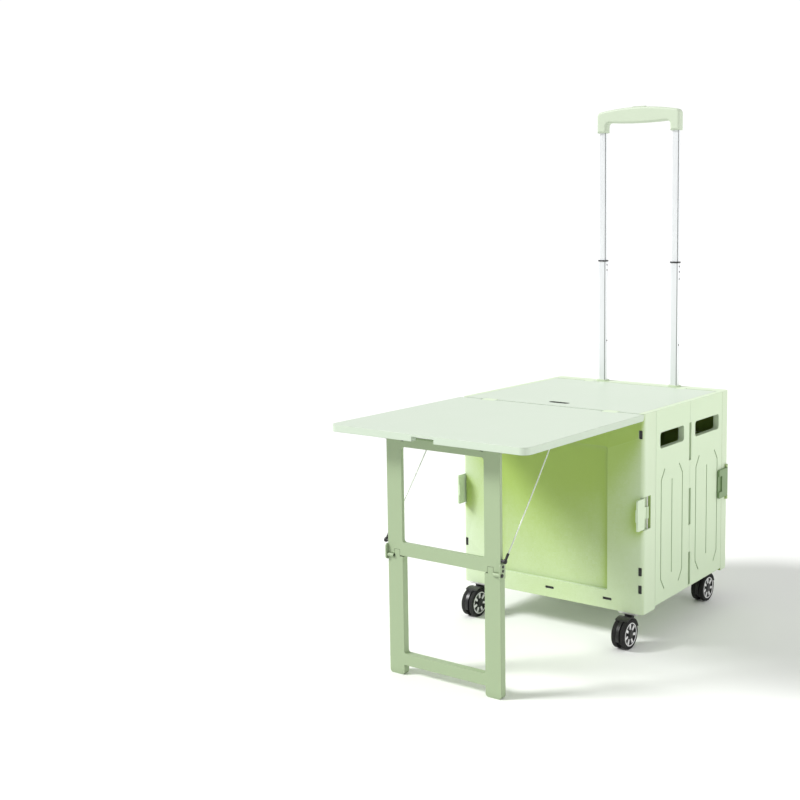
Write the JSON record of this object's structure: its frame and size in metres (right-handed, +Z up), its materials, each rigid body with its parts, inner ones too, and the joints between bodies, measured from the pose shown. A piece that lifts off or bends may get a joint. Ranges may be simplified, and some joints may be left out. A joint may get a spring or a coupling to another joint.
{
  "type": "folding trolley crate",
  "caption": "Folding trolley crate on twin-wheel casters with a lid, a fold-out table on a folding leg and a telescopic handle.",
  "frame": {"origin": "on the ground under the middle of the whole cart's box, table out and handle up", "axes": "+Z up, -Y towards the table side, +X to the right seen from the table side"},
  "size_m": [0.4178, 0.729, 1.0105],
  "materials": {
    "shell": "satin moulded polypropylene, pale pistachio",
    "frame": "satin moulded polypropylene, pistachio",
    "leg": "satin moulded plastic, mid pistachio",
    "latch": "satin moulded plastic, darker green",
    "grip": "satin moulded grip, pale green",
    "dark": "black nylon",
    "caster": "black nylon",
    "tyre": "black rubber tread",
    "hub": "cream green moulded hub",
    "tube": "bright anodised aluminium",
    "steel": "zinc plated steel",
    "cable": "plastic coated steel cable, pale"
  },
  "bodies": {
    "crate": {"front_frame": "frame", "slot_inserts": "dark", "rear_frame": "frame", "side_right_front": "shell", "side_left_front": "shell", "side_right_rear": "shell", "side_left_rear": "shell", "mid_hinge_pins": "steel", "corner_hinge_pins": "steel", "floor_hinge_pins": "steel", "lid_hinge_pins": "steel", "flap_hinge_pins": "steel", "outer_tubes": "tube", "tube_bushes": "frame", "catch_pins": "steel", "latch_pins": "steel", "caster_plates": "steel", "caster_screws": "steel"},
    "floor": {"floor_panel": "frame"},
    "lid": {"lid_panel": "shell", "lid_finger_cup": "dark"},
    "table": {"table_flap": "shell", "leg_hinge_brackets": "steel", "leg_hinge_pins": "steel", "stay_anchors": "steel", "stay_cables": "cable"},
    "leg_upper": {"leg_upper_frame": "leg", "knee_brackets": "leg", "knee_rivets": "dark", "stay_studs": "dark", "stay_low_ends": "dark"},
    "leg_lower": {"leg_lower_frame": "leg", "knee_pins": "dark"},
    "handle_middle": {"middle_tubes": "tube", "middle_collars": "dark", "tube_rivets": "dark"},
    "handle_top": {"inner_tubes": "tube", "grip": "grip", "button_spring": "steel"},
    "release_button": {"grip_button": "grip"},
    "catch_right": {"flap_catch_right": "shell"},
    "catch_left": {"flap_catch_left": "shell"},
    "latch_right": {"rear_latch_right": "latch"},
    "latch_left": {"rear_latch_left": "latch"},
    "front_right_caster": {"front_right_housing": "caster", "front_right_axle": "steel"},
    "front_right_wheels": {"front_right_hubs": "hub", "front_right_tyres": "tyre"},
    "front_left_caster": {"front_left_housing": "caster", "front_left_axle": "steel"},
    "front_left_wheels": {"front_left_hubs": "hub", "front_left_tyres": "tyre"},
    "rear_right_caster": {"rear_right_housing": "caster", "rear_right_axle": "steel"},
    "rear_right_wheels": {"rear_right_hubs": "hub", "rear_right_tyres": "tyre"},
    "rear_left_caster": {"rear_left_housing": "caster", "rear_left_axle": "steel"},
    "rear_left_wheels": {"rear_left_hubs": "hub", "rear_left_tyres": "tyre"}
  },
  "joints": [
    {"name": "lid_hinge", "type": "hinge", "parent": "crate", "child": "lid", "pos_m": [0, 0.3295, 0.427], "axis": [-1, 0, 0], "range_deg": [0, 90]},
    {"name": "floor_fold", "type": "hinge", "parent": "crate", "child": "floor", "pos_m": [0, 0.3325, 0.0745], "axis": [-1, 0, 0], "range_deg": [0, 88]},
    {"name": "table_hinge", "type": "hinge", "parent": "crate", "child": "table", "pos_m": [0, 0, 0.427], "axis": [1, 0, 0], "range_deg": [0, 30]},
    {"name": "leg_fold", "type": "hinge", "parent": "table", "child": "leg_upper", "pos_m": [0, -0.3131, 0.413], "axis": [1, 0, 0], "range_deg": [0, 90]},
    {"name": "knee_fold", "type": "hinge", "parent": "leg_upper", "child": "leg_lower", "pos_m": [0, -0.3165, 0.2085], "axis": [1, 0, 0], "range_deg": [-180, 0]},
    {"name": "handle_stage_one", "type": "slide", "parent": "crate", "child": "handle_middle", "axis": [0, 0, 1], "range_m": [-0.249, 0]},
    {"name": "handle_stage_two", "type": "slide", "parent": "handle_middle", "child": "handle_top", "axis": [0, 0, 1], "range_m": [-0.262, 0]},
    {"name": "button_press", "type": "slide", "parent": "handle_top", "child": "release_button", "axis": [0, 0, 1], "range_m": [-0.004, 0], "stiffness_N_per_m": 500, "springref_m": 0.002, "deforming": ["button_spring"]},
    {"name": "catch_right_swing", "type": "hinge", "parent": "crate", "child": "catch_right", "pos_m": [0.2002, 0.0245, 0.2505], "axis": [0, 0, 1], "range_deg": [0, 15], "stiffness_Nm_per_rad": 0.2, "springref_deg": -5.73},
    {"name": "catch_left_swing", "type": "hinge", "parent": "crate", "child": "catch_left", "pos_m": [-0.2002, 0.0245, 0.2505], "axis": [0, 0, -1], "range_deg": [0, 15], "stiffness_Nm_per_rad": 0.2, "springref_deg": -5.73},
    {"name": "latch_right_swing", "type": "hinge", "parent": "crate", "child": "latch_right", "pos_m": [0.2059, 0.3525, 0.246], "axis": [0, 0, 1], "range_deg": [0, 45]},
    {"name": "latch_left_swing", "type": "hinge", "parent": "crate", "child": "latch_left", "pos_m": [-0.2059, 0.3525, 0.246], "axis": [0, 0, -1], "range_deg": [0, 45]},
    {"name": "front_right_swivel", "type": "hinge", "parent": "crate", "child": "front_right_caster", "pos_m": [0.17, 0.0145, 0.05], "axis": [0, 0, 1], "continuous": true},
    {"name": "front_right_roll", "type": "hinge", "parent": "front_right_caster", "child": "front_right_wheels", "pos_m": [0.17, -0.0035, 0.027], "axis": [1, 0, 0], "continuous": true},
    {"name": "front_left_swivel", "type": "hinge", "parent": "crate", "child": "front_left_caster", "pos_m": [-0.17, 0.0145, 0.05], "axis": [0, 0, 1], "continuous": true},
    {"name": "front_left_roll", "type": "hinge", "parent": "front_left_caster", "child": "front_left_wheels", "pos_m": [-0.17, -0.0035, 0.027], "axis": [1, 0, 0], "continuous": true},
    {"name": "rear_right_swivel", "type": "hinge", "parent": "crate", "child": "rear_right_caster", "pos_m": [0.17, 0.3385, 0.05], "axis": [0, 0, 1], "continuous": true},
    {"name": "rear_right_roll", "type": "hinge", "parent": "rear_right_caster", "child": "rear_right_wheels", "pos_m": [0.17, 0.3205, 0.027], "axis": [1, 0, 0], "continuous": true},
    {"name": "rear_left_swivel", "type": "hinge", "parent": "crate", "child": "rear_left_caster", "pos_m": [-0.17, 0.3385, 0.05], "axis": [0, 0, 1], "continuous": true},
    {"name": "rear_left_roll", "type": "hinge", "parent": "rear_left_caster", "child": "rear_left_wheels", "pos_m": [-0.17, 0.3205, 0.027], "axis": [1, 0, 0], "continuous": true}
  ],
  "couplings": [
    {"joint": "knee_fold", "follows": "leg_fold", "ratio": -2}
  ]
}
